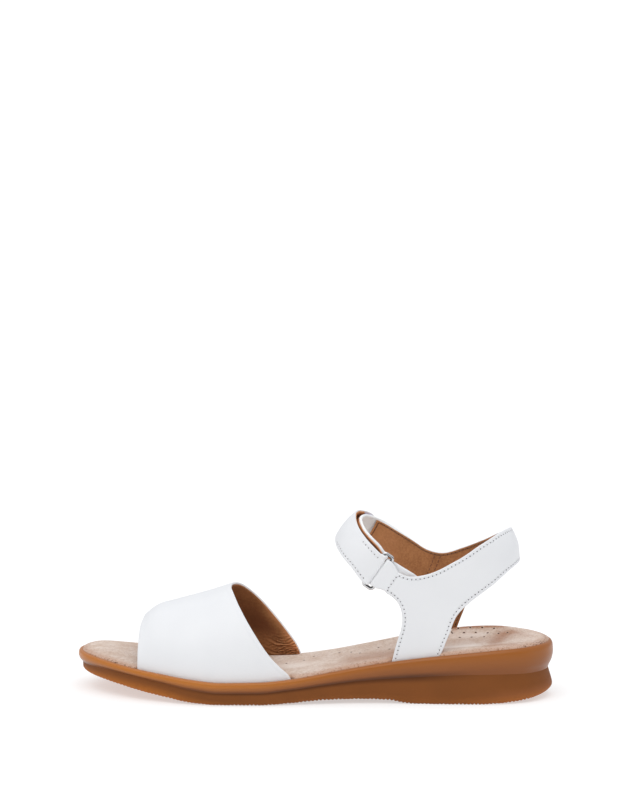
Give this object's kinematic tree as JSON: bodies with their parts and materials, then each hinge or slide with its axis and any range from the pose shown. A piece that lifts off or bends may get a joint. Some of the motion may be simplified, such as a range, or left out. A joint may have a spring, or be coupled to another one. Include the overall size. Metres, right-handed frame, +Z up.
{
  "type": "sandal",
  "caption": "Open-toed white leather sandal with a broad vamp, heel sling and folded ankle strap through a metal ring, on a brown moulded low wedge sole.",
  "frame": {"origin": "on the floor, under the middle of the shoe's bounding box", "axes": "+X to the toe, +Y to the wearer's left, the outer side of this left shoe, +Z up"},
  "size_m": [0.25, 0.086, 0.0952],
  "materials": {
    "outsole_rubber": "matte moulded brown",
    "midsole_foam": "satin moulded tan",
    "insole_suede": "matte brushed beige",
    "vamp_leather": "smooth white, brown lining",
    "quarter_leather": "smooth white, brown lining",
    "tab_leather": "smooth white",
    "ring_metal": "polished",
    "strap_leather": "smooth white, brown backing"
  },
  "bodies": {
    "root": {"outsole": "outsole_rubber", "midsole": "midsole_foam", "insole": "insole_suede", "vamp": "vamp_leather", "quarter": "quarter_leather", "ring_tab": "tab_leather", "ring": "ring_metal", "ankle_strap": "strap_leather"}
  },
  "joints": []
}
